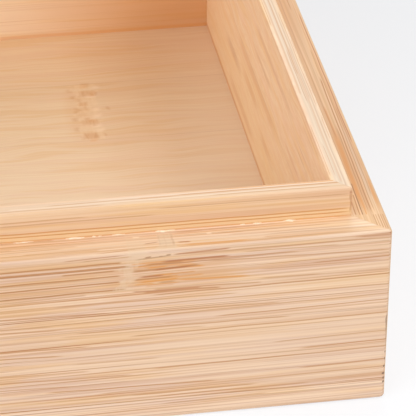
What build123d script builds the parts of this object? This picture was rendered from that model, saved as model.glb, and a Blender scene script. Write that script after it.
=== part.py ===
from build123d import *
import os

# A bamboo box with mitred walls, a liner that rises past them as a lip, and a lift-off lid.
# Sizes are in millimetres. The origin is the centre of the box's underside, +X is along the long
# side to the right, +Y runs from front to back and +Z is up. The lid is off: it lies upside down
# on the table behind the box.

# The box, outside
BOX_LENGTH = 220.0
BOX_WIDTH = 156.0
SIDE_HEIGHT = 38.0

# The walls, and the liner boards that are glued inside them and stand proud as the lip
WALL_THICKNESS = 6.5
LINER_THICKNESS = 3.5
LIP_HEIGHT = 6.1

# The bottom panel, flush underneath in a rebate in the walls' lower inner edges
BOTTOM_THICKNESS = 4.7
BOTTOM_REBATE = 3.0

# The lid, outside faces flush with the walls, its panel flush on top in a rebate in the rails
LID_PANEL_THICKNESS = 4.7
LID_REBATE = 2.8
LID_HEADROOM = 7.2

# Clearances: panel edge to rebate, lip to lid rail, and back wall to the lid behind it
PANEL_CLEARANCE = 0.2
LID_CLEARANCE = 0.8
LID_GAP = 0.4

# Sanded edges: upright corners, foot of the walls, top of the lid, and all other edges
CORNER_RADIUS = 0.7
FOOT_RADIUS = 1.0
LID_TOP_RADIUS = 0.8
EDGE_RADIUS = 0.45
LIP_RADIUS = 0.35

# How far a cutting shape runs past what it cuts
OVERSHOOT = 1.0

# The side of a frame that each angle about +Z turns the front to
SIDE_ANGLES = {"front": 0, "right": 90, "back": 180, "left": 270}

LIP_TOP = SIDE_HEIGHT + LIP_HEIGHT
LINER_LENGTH = BOX_LENGTH - 2 * WALL_THICKNESS
LINER_WIDTH = BOX_WIDTH - 2 * WALL_THICKNESS
RAIL_THICKNESS = WALL_THICKNESS - LID_CLEARANCE
LID_HEIGHT = LIP_HEIGHT + LID_HEADROOM + LID_PANEL_THICKNESS
LID_TOP = SIDE_HEIGHT + LID_HEIGHT

# Turning the closed lid over about this line lays it upside down on the table, LID_GAP behind
TURN_Y = BOX_WIDTH / 2 + LID_GAP / 2
TURN_Z = LID_TOP / 2
TURN_AXIS = Axis((0, TURN_Y, TURN_Z), (1, 0, 0))


def block(length, width, low, high):
    """A box centred on the upright axis, between two heights."""
    shape = Box(length, width, high - low, align=(Align.CENTER, Align.CENTER, Align.MIN))
    return Pos(0, 0, low) * shape


def eased_block(length, width, low, high, low_radius, high_radius):
    """A box with its upright corners, its lower rim and its upper rim rounded over."""
    shape = block(length, width, low, high)
    shape = fillet(shape.edges().filter_by(Axis.Z), CORNER_RADIUS)
    shape = fillet(shape.faces().sort_by(Axis.Z)[0].edges(), low_radius)
    return fillet(shape.faces().sort_by(Axis.Z)[-1].edges(), high_radius)


def mitred_boards(ring, length, width, thickness):
    """The four boards of a frame, cut from the whole frame at its 45 degree mitres."""
    low = ring.bounding_box().min.Z - OVERSHOOT
    high = ring.bounding_box().max.Z + OVERSHOOT
    inset = thickness + OVERSHOOT
    boards = {}
    for side, angle in SIDE_ANGLES.items():
        is_long = side in ("front", "back")
        half_span = (length if is_long else width) / 2
        distance = (width if is_long else length) / 2
        outline = Polygon(
            (-half_span - OVERSHOOT, -distance - OVERSHOOT),
            (half_span + OVERSHOOT, -distance - OVERSHOOT),
            (half_span - inset, -distance + inset),
            (-half_span + inset, -distance + inset),
            align=None,
        )
        wedge = Pos(0, 0, low) * extrude(outline, high - low)
        boards[side] = ring & Rot(0, 0, angle) * wedge
    return boards


def walls():
    """The outer walls, with the rebate for the bottom panel in their lower inner edges."""
    ring = eased_block(BOX_LENGTH, BOX_WIDTH, 0, SIDE_HEIGHT, FOOT_RADIUS, EDGE_RADIUS)
    ring -= block(LINER_LENGTH, LINER_WIDTH, -OVERSHOOT, SIDE_HEIGHT + OVERSHOOT)
    rebate_length = LINER_LENGTH + 2 * BOTTOM_REBATE
    rebate_width = LINER_WIDTH + 2 * BOTTOM_REBATE
    ring -= block(rebate_length, rebate_width, -OVERSHOOT, BOTTOM_THICKNESS)
    boards = mitred_boards(ring, BOX_LENGTH, BOX_WIDTH, WALL_THICKNESS)
    return {f"{side}_wall": board for side, board in boards.items()}


def liners():
    """The liner boards, which stand on the bottom panel and rise past the walls as the lip."""
    ring = block(LINER_LENGTH, LINER_WIDTH, BOTTOM_THICKNESS, LIP_TOP)
    inner_length = LINER_LENGTH - 2 * LINER_THICKNESS
    inner_width = LINER_WIDTH - 2 * LINER_THICKNESS
    ring -= block(inner_length, inner_width, 0, LIP_TOP + OVERSHOOT)
    ring = fillet(ring.faces().sort_by(Axis.Z)[-1].edges(), LIP_RADIUS)
    boards = mitred_boards(ring, LINER_LENGTH, LINER_WIDTH, LINER_THICKNESS)
    return {f"{side}_liner": board for side, board in boards.items()}


def bottom_panel():
    """The floor of the box, flush with the foot of the walls."""
    reach = 2 * (BOTTOM_REBATE - PANEL_CLEARANCE)
    return block(LINER_LENGTH + reach, LINER_WIDTH + reach, 0, BOTTOM_THICKNESS)


def lid_rails():
    """The lid's mitred rails in their closed place, with a rebate in their upper inner edges."""
    ring = eased_block(
        BOX_LENGTH, BOX_WIDTH, SIDE_HEIGHT, LID_TOP, EDGE_RADIUS, LID_TOP_RADIUS
    )
    hollow_length = BOX_LENGTH - 2 * RAIL_THICKNESS
    hollow_width = BOX_WIDTH - 2 * RAIL_THICKNESS
    ring -= block(hollow_length, hollow_width, 0, LID_TOP + OVERSHOOT)
    rebate_length = hollow_length + 2 * LID_REBATE
    rebate_width = hollow_width + 2 * LID_REBATE
    rebate_floor = LID_TOP - LID_PANEL_THICKNESS
    ring -= block(rebate_length, rebate_width, rebate_floor, LID_TOP + OVERSHOOT)
    boards = mitred_boards(ring, BOX_LENGTH, BOX_WIDTH, RAIL_THICKNESS)
    return {f"lid_{side}_rail": board for side, board in boards.items()}


def lid_top_panel():
    """The lid's panel in its closed place, flush with the top of the rails."""
    reach = 2 * (LID_REBATE - PANEL_CLEARANCE - RAIL_THICKNESS)
    return block(
        BOX_LENGTH + reach, BOX_WIDTH + reach, LID_TOP - LID_PANEL_THICKNESS, LID_TOP
    )


def box_pieces():
    """Every piece of the box itself."""
    return {**walls(), **liners(), "bottom_panel": bottom_panel()}


def lid_pieces():
    """Every piece of the lid, turned over from its closed place to the table."""
    closed = {**lid_rails(), "lid_top_panel": lid_top_panel()}
    return {name: shape.rotate(TURN_AXIS, 180) for name, shape in closed.items()}


def main():
    """Builds each piece and writes it to its own file."""
    os.makedirs("parts", exist_ok=True)
    for name, shape in {**box_pieces(), **lid_pieces()}.items():
        export_step(shape, f"parts/{name}.step")
    print(f"lid turns over about y {TURN_Y} z {TURN_Z}, lid height {LID_HEIGHT}")


main()
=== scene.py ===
"""The looks of a bamboo keepsake box with a stepped rim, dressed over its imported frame.

The boards keep their shapes and get laminated bamboo: fibre bundles, glued strips, growth nodes and
mitre joints. Objects are in metres in the part's own frame. The finishes are written in millimetres,
because each material first turns Object coordinates into millimetres along, into and across its board.
"""

import logging
import math
from collections.abc import Iterable, Sequence
from dataclasses import dataclass
from enum import Enum

import bpy
import numpy as np
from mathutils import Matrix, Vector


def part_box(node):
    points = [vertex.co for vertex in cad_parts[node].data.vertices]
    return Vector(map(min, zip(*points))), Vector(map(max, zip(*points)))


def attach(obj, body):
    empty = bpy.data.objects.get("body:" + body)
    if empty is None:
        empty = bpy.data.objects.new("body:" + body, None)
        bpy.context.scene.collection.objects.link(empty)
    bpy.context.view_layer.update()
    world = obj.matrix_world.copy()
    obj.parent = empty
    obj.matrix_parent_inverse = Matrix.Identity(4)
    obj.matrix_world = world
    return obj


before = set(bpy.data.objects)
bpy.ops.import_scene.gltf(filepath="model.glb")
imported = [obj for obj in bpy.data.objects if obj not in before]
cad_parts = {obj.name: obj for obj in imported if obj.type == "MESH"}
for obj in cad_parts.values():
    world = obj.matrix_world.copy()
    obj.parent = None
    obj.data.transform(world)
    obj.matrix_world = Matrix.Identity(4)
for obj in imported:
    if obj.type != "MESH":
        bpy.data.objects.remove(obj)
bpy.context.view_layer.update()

LOG = logging.getLogger("keepsake_box")
PER_METRE = 1000.0
MM = 1.0 / PER_METRE

Socket = bpy.types.NodeSocket
Value = float | Sequence[float] | Socket
Colour = tuple[float, float, float, float]


def linear(red: int, green: int, blue: int) -> Colour:
    """Turns screen values from 0 to 255 into linear light, by the sRGB curve.

    Args:
        red: The red screen value.
        green: The green screen value.
        blue: The blue screen value.

    Returns:
        The linear colour with full alpha.
    """
    screen = np.array([red, green, blue]) / 255.0
    light = np.where(screen <= 0.04045, screen / 12.92, ((screen + 0.055) / 1.055) ** 2.4)
    return (float(light[0]), float(light[1]), float(light[2]), 1.0)


class Wiring:
    """Adds nodes to one node tree and joins them, so that a material reads as a list of steps."""

    def __init__(self, tree: bpy.types.NodeTree) -> None:
        """Keeps the tree that the nodes go into."""
        self.tree = tree

    def feed(self, target: Socket, value: Value) -> None:
        """Links an output socket to an input, or sets the input to a plain value.

        Args:
            target: The input socket.
            value: An output socket, a number or a row of numbers.
        """
        if isinstance(value, bpy.types.NodeSocket):
            self.tree.links.new(value, target)
        else:
            target.default_value = value

    def node(
        self, kind: str, inputs: dict[str | int, Value] | None = None, **settings: object
    ) -> bpy.types.Node:
        """Adds one node.

        Args:
            kind: Blender's name for the kind of node.
            inputs: What goes into each input, by the input's name or number.
            settings: The node's own properties.

        Returns:
            The new node.
        """
        made = self.tree.nodes.new(kind)
        for name, value in settings.items():
            setattr(made, name, value)
        for name, value in (inputs or {}).items():
            self.feed(made.inputs[name], value)
        return made

    def math(self, operation: str, *values: Value) -> Socket:
        """Adds a Math node for an operation on one, two or three values."""
        return self.node("ShaderNodeMath", dict(enumerate(values)), operation=operation).outputs[0]

    def times(self, *values: Value) -> Socket:
        """Multiplies values, from the last to the first."""
        *rest, product = values
        for value in reversed(rest):
            product = self.math("MULTIPLY", value, product)
        return product

    def plus(self, value: Value, more: Value) -> Socket:
        """Adds two values."""
        return self.math("ADD", value, more)

    def minus(self, value: Value, less: Value) -> Socket:
        """Takes the second value from the first."""
        return self.math("SUBTRACT", value, less)

    def scaled(self, value: Value, by: Value, more: Value) -> Socket:
        """Multiplies a value and adds another."""
        return self.math("MULTIPLY_ADD", value, by, more)

    def size(self, value: Value) -> Socket:
        """Drops a value's sign."""
        return self.math("ABSOLUTE", value)

    def fade(
        self, value: Value, low: Value, high: Value, at_low: float = 0.0, at_high: float = 1.0
    ) -> Socket:
        """Adds a smooth step between two values, level beyond both.

        Args:
            value: What is measured.
            low: Where the step starts.
            high: Where the step ends.
            at_low: The result up to the start.
            at_high: The result from the end on.

        Returns:
            The stepped value.
        """
        inputs = {
            "Value": value, "From Min": low, "From Max": high, "To Min": at_low, "To Max": at_high
        }
        step = self.node("ShaderNodeMapRange", inputs, interpolation_type="SMOOTHSTEP", clamp=False)
        return step.outputs[0]

    def fall(self, value: Value, low: Value, high: Value) -> Socket:
        """Adds a smooth step down from 1 to 0 between two values."""
        return self.fade(value, low, high, 1.0, 0.0)

    def blend(self, amount: Value, under: Value, over: Value) -> Socket:
        """Lays one colour over another.

        Args:
            amount: How much of the upper colour covers the lower, from 0 to 1.
            under: The lower colour.
            over: The upper colour.

        Returns:
            The mixed colour.
        """
        inputs = {"Factor": amount, "A": under, "B": over}
        mixer = self.node("ShaderNodeMix", data_type="RGBA")
        for socket in mixer.inputs:
            if socket.enabled and socket.name in inputs:
                self.feed(socket, inputs[socket.name])
        return next(socket for socket in mixer.outputs if socket.enabled)

    def combine(self, x: Value, y: Value, z: Value) -> Socket:
        """Makes a vector of three values."""
        return self.node("ShaderNodeCombineXYZ", {0: x, 1: y, 2: z}).outputs[0]

    def split(self, vector: Socket) -> tuple[Socket, Socket, Socket]:
        """Takes a vector apart into its three values."""
        parts = self.node("ShaderNodeSeparateXYZ", {0: vector}).outputs
        return parts[0], parts[1], parts[2]

    def stretched(self, vector: Socket, by: Value, shift: Value = (0.0, 0.0, 0.0)) -> Socket:
        """Multiplies a vector part by part and adds a shift."""
        inputs = {0: vector, 1: by, 2: shift}
        return self.node("ShaderNodeVectorMath", inputs, operation="MULTIPLY_ADD").outputs[0]

    def noise(self, vector: Socket, detail: float = 2.0) -> Socket:
        """Adds cloudy noise with one swell for each unit of the vector, about 0.5 on average."""
        inputs = {"Vector": vector, "Scale": 1.0, "Detail": detail}
        return self.node("ShaderNodeTexNoise", inputs).outputs[0]

    def millimetres(self) -> Socket:
        """Reads Object coordinates in millimetres."""
        place = self.node("ShaderNodeTexCoord").outputs["Object"]
        return self.stretched(place, (PER_METRE,) * 3)

    def relief(self, height: Socket, strength: float, depth: float) -> Socket:
        """Turns a height into a normal, with its strength and its depth in millimetres."""
        inputs = {"Height": height, "Strength": strength, "Distance": depth * MM}
        return self.node("ShaderNodeBump", inputs).outputs["Normal"]

    def place(self, group: bpy.types.NodeTree, **inputs: Value) -> dict[str, Socket]:
        """Places a node group.

        Args:
            group: The group's node tree.
            inputs: What goes into each input, with underscores for the spaces in its name.

        Returns:
            The outputs by name.
        """
        made = self.node("ShaderNodeGroup", node_tree=group)
        for name, value in inputs.items():
            self.feed(made.inputs[name.replace("_", " ")], value)
        return {socket.name: socket for socket in made.outputs}


def new_material(name: str) -> tuple[bpy.types.Material, Wiring]:
    """Makes a material without nodes, and the wiring that fills it."""
    made = bpy.data.materials.new(name)
    made.use_nodes = True
    made.node_tree.nodes.clear()
    return made, Wiring(made.node_tree)


def new_piece(
    name: str, points: Sequence, faces: Sequence, material: bpy.types.Material
) -> bpy.types.Object:
    """Makes a mesh object at the origin.

    Args:
        name: The piece's name.
        points: The mesh's points in metres.
        faces: The points of each face.
        material: Its material.

    Returns:
        The piece.
    """
    mesh = bpy.data.meshes.new(name)
    mesh.from_pydata(points, [], faces)
    mesh.materials.append(material)
    piece = bpy.data.objects.new(name, mesh)
    bpy.context.scene.collection.objects.link(piece)
    return piece


class Effect:
    """A shader node group while it is being built, with its inputs by name."""

    def __init__(self, name: str, numbers: Sequence[str], vectors: Sequence[str] = ()) -> None:
        """Starts the group.

        Args:
            name: The group's name.
            numbers: The names of its number inputs.
            vectors: The names of its vector inputs.
        """
        self.tree = bpy.data.node_groups.new(name, "ShaderNodeTree")
        for socket in vectors:
            self.socket(socket, "INPUT", "NodeSocketVector")
        for socket in numbers:
            self.socket(socket, "INPUT", "NodeSocketFloat")
        self.wiring = Wiring(self.tree)
        entry = self.wiring.node("NodeGroupInput")
        self.inputs = {socket.name: socket for socket in entry.outputs if socket.name}

    def socket(self, name: str, direction: str, kind: str) -> None:
        """Adds one socket to the group's outside."""
        self.tree.interface.new_socket(name=name, in_out=direction, socket_type=kind)

    def close(self, **outputs: Socket) -> bpy.types.NodeTree:
        """Adds the outputs by name and gives back the finished group."""
        for name in outputs:
            self.socket(name, "OUTPUT", "NodeSocketFloat")
        self.wiring.node("NodeGroupOutput", outputs)
        return self.tree


class GrainEffects:
    """The node groups that every board's material shares, each built once."""

    def __init__(self) -> None:
        """Builds the groups."""
        self.fibre_bundles = self._fibre_bundles()
        self.stroke = self._stroke()
        self.growth_node = self._growth_node()
        self.strips = self._strips()
        self.mitre = self._mitre()

    def _fibre_bundles(self) -> bpy.types.NodeTree:
        """Rods along the grain, one in each cell of the board's cross-section.

        A rod shows where its centre comes within its radius of the surface. The cells wander a little
        along the board, and a noise of its own makes each rod fade in and out.

        Returns:
            The group. Lines is the mask of the rods and Tint is a random number for each rod.
        """
        wander_swells, wander_reach = (0.016, 0.11, 0.11), (0.0, 0.5, 0.7)
        core_share, phases, asleep, awake = 0.45, 90.0, 0.36, 0.54
        weakest, strongest_from = 0.3, 0.9
        effect = Effect("fibre bundles", ("Spacing", "Radius", "Run"), ("Grain",))
        w, given = effect.wiring, effect.inputs
        spacing, radius = given["Spacing"], given["Radius"]
        slow = w.stretched(given["Grain"], wander_swells)
        wander = w.node("ShaderNodeTexNoise", {"Vector": slow, "Scale": 1.0, "Detail": 1.0})
        moved = w.stretched(wander.outputs[1], wander_reach, given["Grain"])
        along, depth, across = w.split(moved)
        inward, upward = w.math("DIVIDE", depth, spacing), w.math("DIVIDE", across, spacing)
        section = {"Vector": w.combine(inward, upward, 0.0), "Scale": 1.0}
        cell = w.node("ShaderNodeTexVoronoi", section, voronoi_dimensions="2D").outputs
        core = w.fall(w.times(cell["Distance"], spacing), w.times(radius, core_share), radius)
        strength, phase, tint = w.split(cell["Color"])
        run = w.math("DIVIDE", along, given["Run"])
        waking = w.noise(w.combine(run, w.times(phase, phases), 0.0), 1.0)
        alive = w.fade(waking, asleep, awake)
        strong = w.fade(strength, 0.0, strongest_from, weakest, 1.0)
        return effect.close(Lines=w.times(core, alive, strong), Tint=tint)

    def _stroke(self) -> bpy.types.NodeTree:
        """One straight stroke: a soft line between two ends, across being height plus slope times along.

        Returns:
            The group. Mask is the stroke's cover.
        """
        core_share = 0.3
        names = ("Along", "Across", "Start", "End", "Height", "Slope", "Half Width", "Soft")
        effect = Effect("stroke", names)
        w, given = effect.wiring, effect.inputs
        along, half_width, soft = given["Along"], given["Half Width"], given["Soft"]
        line = w.scaled(along, given["Slope"], given["Height"])
        distance = w.size(w.minus(given["Across"], line))
        core = w.fall(distance, w.times(half_width, core_share), half_width)
        rise = w.fade(along, given["Start"], w.plus(given["Start"], soft))
        fall = w.fall(along, w.minus(given["End"], soft), given["End"])
        return effect.close(Mask=w.times(core, rise, fall))

    def _growth_node(self) -> bpy.types.NodeTree:
        """The growth node of one strip: a slanting pale band with a ragged edge and dark dashes beyond it.

        Returns:
            The group. Pale, Dark and Gap are the covers of the band, the dashes and the break in the
            fibres.
        """
        edge, ragged_reach, before_reach, gap_edge = 0.3, 2.5, 1.5, 1.0
        ragged, broken, dashed = (0.3, 0.6, 4.0), (1.6, 0.4, 2.0), (0.28, 1.15, 9.0, 3.0)
        names = ("Along", "Across", "Place", "Slant", "Low", "High", "Width", "Reach")
        effect = Effect("growth node", names)
        w, given = effect.wiring, effect.inputs
        along, across, low, high = given["Along"], given["Across"], given["Low"], given["High"]

        def cloud(run: float, rise: float, seed: float, detail: float = 2.0) -> Socket:
            """Noise with so many swells a millimetre along and across the board."""
            return w.noise(w.combine(w.times(along, run), w.times(across, rise), seed), detail)

        slant = w.times(given["Slant"], w.minus(across, low))
        slanted = w.minus(w.minus(along, given["Place"]), slant)
        past = w.plus(slanted, w.scaled(cloud(*ragged), 2.0 * ragged_reach, -ragged_reach))
        half = w.times(given["Width"], 0.5)
        band = w.fall(w.size(past), w.minus(half, edge), w.plus(half, edge))
        pale = w.times(band, w.fade(cloud(*broken), 0.35, 0.60, 0.45, 1.0))
        beyond = w.fall(past, half, w.plus(half, given["Reach"]))
        before = w.fade(past, w.minus(w.times(half, -1.0), before_reach), half)
        dark = w.times(w.fade(cloud(*dashed), 0.50, 0.62), beyond, before)
        gap = w.fall(w.size(past), half, w.plus(half, gap_edge))
        lower = w.fade(across, low, w.plus(low, edge))
        strip = w.times(lower, w.fall(across, w.minus(high, edge), high))
        return effect.close(
            Pale=w.times(pale, strip), Dark=w.times(dark, strip), Gap=w.times(gap, strip)
        )

    def _strips(self) -> bpy.types.NodeTree:
        """The glued strips of a board, as steps of one strip's height across it.

        Returns:
            The group. Tone is a random number for each strip and Seam is the cover of the glue lines.
        """
        seam_core, seam_edge = 0.03, 0.16
        effect = Effect("strips", ("Across", "First Seam", "Strip Height", "Seed"))
        w, given = effect.wiring, effect.inputs
        height = given["Strip Height"]
        counted = w.math("DIVIDE", w.minus(given["Across"], given["First Seam"]), height)
        number = w.math("FLOOR", counted)
        part = w.minus(counted, number)
        from_edge = w.times(w.math("MINIMUM", part, w.minus(1.0, part)), height)
        seed = {"W": w.plus(number, given["Seed"])}
        tone = w.node("ShaderNodeTexWhiteNoise", seed, noise_dimensions="1D").outputs["Value"]
        return effect.close(Tone=tone, Seam=w.fall(from_edge, seam_core, seam_edge))

    def _mitre(self) -> bpy.types.NodeTree:
        """The mitre joints of a frame, where the distances past two sides' middles differ by a fixed amount.

        Returns:
            The group. Seam is the cover of the joint lines.
        """
        effect = Effect("mitre", ("Middle", "Difference", "Half Width"), ("Millimetres",))
        w, given = effect.wiring, effect.inputs
        x, y, _ = w.split(given["Millimetres"])
        from_middle = w.size(w.minus(y, given["Middle"]))
        off = w.minus(w.minus(w.size(x), from_middle), given["Difference"])
        distance = w.times(w.size(off), math.sqrt(0.5))
        return effect.close(Seam=w.fall(distance, 0.0, given["Half Width"]))


class Grain(Enum):
    """How a board lies, as the turn in degrees from the part's axes to along, into and across the board."""

    LONG_UPRIGHT = (0.0, 0.0, 0.0)
    SHORT_UPRIGHT = (0.0, 0.0, -90.0)
    LONG_FLAT = (90.0, 0.0, 0.0)


class Tone(Enum):
    """The colours that a single stroke may have, in the order in which they lie over each other."""

    HONEY = linear(252, 219, 168)
    STRAW = linear(221, 198, 172)
    AMBER = linear(214, 150, 88)
    CREAM = linear(254, 230, 204)
    BEIGE = linear(240, 208, 178)
    ORANGE = linear(223, 155, 84)
    BROWN = linear(196, 138, 88)
    RED_BROWN = linear(186, 120, 76)
    UMBER = linear(170, 118, 76)
    SHADOW = linear(112, 84, 66)


@dataclass(frozen=True)
class Cloud:
    """A noise over a board, and the step over which it starts to count.

    Attributes:
        swells: How many swells it has for each millimetre along, into and across the board.
        low: The value at which it starts to count.
        high: The value from which it counts in full.
        detail: How much finer noise it carries.
        shift: Sets it apart from the others.
    """

    swells: tuple[float, float, float]
    low: float = 0.0
    high: float = 1.0
    detail: float = 2.0
    shift: tuple[float, float, float] = (0.0, 0.0, 0.0)


# The clouds that every board shares. The pale threads are the low end of the dark threads' cloud.
STREAKS = Cloud((0.011, 2.6, 2.6), 0.44, 0.54, 1.0)
THREADS = Cloud((0.018, 2.7, 2.7), 0.54, 0.63, 0.0, (40.0, 7.0, 3.0))
PALE_THREADS = (0.37, 0.46)
PINKS = Cloud((0.03, 0.55, 0.55), 0.44, 0.62)
HONEYS = Cloud((0.04, 0.6, 0.6), 0.48, 0.64, shift=(9.0, 30.0, 11.0))
FLECKS = Cloud((0.24, 1.2, 1.2), 0.45, 0.62, shift=(5.0, 2.0, 8.0))
CROWDS = Cloud((0.012, 0.12, 0.2), 0.36, 0.60)
WAVES = Cloud((0.09, 0.3, 0.3), detail=1.0)
PORES = Cloud((0.5, 6.0, 6.0))


@dataclass(frozen=True)
class Stroke:
    """One mark that stands out on a board, drawn straight between two points of the board.

    Attributes:
        start: Millimetres along the board and across it, or in from the outer face when on_top.
        end: The other end, in the same measures.
        strength: How much the mark covers.
        half_width: Half its width in millimetres.
        soft: How far its ends take to fade, in millimetres.
        tone: Its colour.
        on_top: Whether it lies on the board's upper edge instead of its faces.
    """

    start: tuple[float, float]
    end: tuple[float, float]
    strength: float
    half_width: float
    soft: float
    tone: Tone
    on_top: bool


@dataclass(frozen=True)
class GrowthNode:
    """Where a strip has a growth node of the culm.

    Attributes:
        place: Millimetres along the board, at the strip's lower edge.
        low: The strip's lower edge across the board, or in from the outer face when on_top.
        high: Its upper edge.
        slant: Millimetres along for each millimetre across.
        width: Width of the pale band.
        reach: How far the dark dashes run on past the band.
        strength: How much the pale band covers.
        dashes: How much the dark dashes cover.
        on_top: Whether it lies on the board's upper edge instead of its faces.
    """

    place: float
    low: float
    high: float
    slant: float = 0.25
    width: float = 3.2
    reach: float = 7.0
    strength: float = 0.7
    dashes: float = 0.7
    on_top: bool = False


@dataclass(frozen=True)
class Palette:
    """The colours of one board's bamboo."""

    pale: Colour = linear(245, 215, 186)
    warm: Colour = linear(214, 171, 132)
    pink: Colour = linear(231, 203, 186)
    honey: Colour = linear(238, 197, 146)
    light: Colour = linear(251, 224, 193)
    fibre: Colour = linear(196, 130, 76)
    dark_fibre: Colour = linear(164, 104, 62)
    node_pale: Colour = linear(232, 204, 170)
    node_dark: Colour = linear(202, 140, 86)
    joint: Colour = linear(176, 124, 84)


@dataclass(frozen=True)
class BambooFinish:
    """How one board of laminated bamboo looks.

    Attributes:
        grain: How the board lies.
        seed: Sets the board's random pattern apart from the others.
        palette: Its colours.
        strip_height: The height of one glued strip in millimetres.
        first_seam: Where a glue line between strips lies across the board.
        strip_contrast: How much the strips differ.
        slope: How far the grain climbs for each millimetre along.
        line_strength: How much the fibre bundles cover.
        streak_strength: How much the fine streaks show.
        band_strength: How much the broad pink and honey bands show.
        spacing: Millimetres between fibre bundles in the cross-section.
        waver: How far the grain wanders from straight, in millimetres.
        fleck_strength: How much short flecks along the grain show.
        roughness: The mean roughness of the sanded surface.
        strokes: The listed marks.
        nodes: The growth nodes.
    """

    grain: Grain
    seed: float
    palette: Palette = Palette()
    strip_height: float = 7.6
    first_seam: float = 0.0
    strip_contrast: float = 0.18
    slope: float = 0.0
    line_strength: float = 1.0
    streak_strength: float = 0.46
    band_strength: float = 0.6
    spacing: float = 0.75
    waver: float = 0.0
    fleck_strength: float = 0.0
    roughness: float = 0.5
    strokes: tuple[Stroke, ...] = ()
    nodes: tuple[GrowthNode, ...] = ()


class BoardMaterial:
    """Builds the material of one board from its finish.

    Attributes:
        SEAM_COVER: How much the glue lines between strips cover.
        MITRE_COVER: How much the mitre lines cover.
        MITRE_HALF_WIDTH: How far a mitre line fades out to each side, in millimetres.
        STROKE_WAVER: How far a stroke wanders to each side, in millimetres.
        WAVER_SWELLS: How often a wavering grain swells in a millimetre along and across.
        STRIP_DEPTH: How far apart two strips' patterns may lie, in millimetres.
        SEED_SHIFT: How far one step of the seed moves the pattern, in millimetres.
        COARSE: The radius and run of the coarse fibre bundles, in millimetres.
        FINE: The radius and run of the fine ones.
        FINE_SPACING: The fine ones' spacing as a share of the coarse ones'.
        FINE_COVER: The fine ones' cover as a share of the coarse ones'.
        THINNEST: What is left of the cover where the bundles are sparse.
        PALE_THREAD_SHARE: How much the pale threads show as a share of the streaks.
        DARK_THREAD_SHARE: How much the dark threads show as a share of the streaks.
    """

    SEAM_COVER = 0.22
    MITRE_COVER = 0.1
    MITRE_HALF_WIDTH = 0.16
    STROKE_WAVER = 0.15
    WAVER_SWELLS = (0.05, 0.09, 0.0)
    STRIP_DEPTH = 60.0
    SEED_SHIFT = (31.0, 17.0, 0.0)
    COARSE = dict(Radius=0.17, Run=60.0)
    FINE = dict(Radius=0.14, Run=36.0)
    FINE_SPACING = 0.6
    FINE_COVER = 0.9
    THINNEST = 0.65
    PALE_THREAD_SHARE = 0.8
    DARK_THREAD_SHARE = 0.6

    def __init__(
        self, effects: GrainEffects, finish: BambooFinish, outer: float, middle: float
    ) -> None:
        """Keeps what the steps need.

        Args:
            effects: The shared node groups.
            finish: The board's finish.
            outer: Where the board's outer face lies on the axis into the board, in millimetres.
            middle: The Y of the middle of the board's frame, in millimetres.
        """
        self.effects = effects
        self.finish = finish
        self.outer = outer
        self.middle = middle

    def build(self, name: str) -> bpy.types.Material:
        """Makes the material of the board with this name."""
        made, self.w = new_material(f"bamboo {name.replace('_', ' ')}")
        self._measure()
        gap = self._grow_nodes()
        lines, tint = self._bundles(gap)
        palette = self.finish.palette
        fibre = self.w.blend(tint, palette.fibre, palette.dark_fibre)
        colour = self.w.blend(lines, self._ground(), fibre)
        colour = self._lay_joints(self._lay_nodes(self._lay_strokes(colour)))
        self._finish_surface(colour, lines)
        return made

    def _measure(self) -> None:
        """Turns Object coordinates into millimetres along, into and across the board."""
        w, finish = self.w, self.finish
        self.millimetres = w.millimetres()
        turn = tuple(math.radians(angle) for angle in finish.grain.value)
        turned = w.node("ShaderNodeMapping", {"Vector": self.millimetres, "Rotation": turn})
        self.along, into, self.across = w.split(turned.outputs[0])
        self.depth = w.size(w.minus(into, self.outer))
        level = w.minus(self.across, w.times(self.along, finish.slope))
        if finish.waver:
            slow = w.stretched(w.combine(self.along, self.across, 0.0), self.WAVER_SWELLS)
            level = w.scaled(w.noise(slow, 1.0), 2.0 * finish.waver, level)
        self.strip = w.place(
            self.effects.strips,
            Across=self.across,
            First_Seam=finish.first_seam,
            Strip_Height=finish.strip_height,
            Seed=finish.seed,
        )
        own_depth = w.scaled(self.strip["Tone"], self.STRIP_DEPTH, self.depth)
        own_place = tuple(finish.seed * shift for shift in self.SEED_SHIFT)
        self.texture = w.stretched(
            w.combine(self.along, own_depth, level), (1.0, 1.0, 1.0), own_place
        )

    def _noise(self, cloud: Cloud) -> Socket:
        """Adds a cloud's noise over the board."""
        return self.w.noise(self.w.stretched(self.texture, cloud.swells, cloud.shift), cloud.detail)

    def _cover(self, cloud: Cloud, full: float, least: float = 0.0) -> Socket:
        """Adds a cloud's cover, from the least up to the full one."""
        return self.w.fade(self._noise(cloud), cloud.low, cloud.high, least, full)

    def _grow_nodes(self) -> Value:
        """Places the growth nodes.

        Returns:
            The cover of the breaks that they make in the fibres.
        """
        w = self.w
        self.grown = []
        gap = 0.0
        for spot in self.finish.nodes:
            parts = w.place(
                self.effects.growth_node,
                Along=self.along,
                Across=self.depth if spot.on_top else self.across,
                Place=spot.place,
                Slant=spot.slant,
                Low=spot.low,
                High=spot.high,
                Width=spot.width,
                Reach=spot.reach,
            )
            self.grown.append((spot, parts))
            gap = w.math("MAXIMUM", gap, w.times(parts["Gap"], spot.strength))
        return gap

    def _bundles(self, gap: Value) -> tuple[Socket, Socket]:
        """Places the fibre bundles, thinned by slow noise and broken at the growth nodes.

        Args:
            gap: The cover of the breaks.

        Returns:
            The lines' cover and their tint.
        """
        w, spacing = self.w, self.finish.spacing
        group, grain = self.effects.fibre_bundles, self.texture
        coarse = w.place(group, Grain=grain, Spacing=spacing, **self.COARSE)
        fine = w.place(group, Grain=grain, Spacing=self.FINE_SPACING * spacing, **self.FINE)
        whole = w.times(w.minus(1.0, gap), self.finish.line_strength)
        both = w.math("MAXIMUM", coarse["Lines"], w.times(fine["Lines"], self.FINE_COVER))
        return w.times(both, self._cover(CROWDS, 1.0, self.THINNEST), whole), coarse["Tint"]

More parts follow.
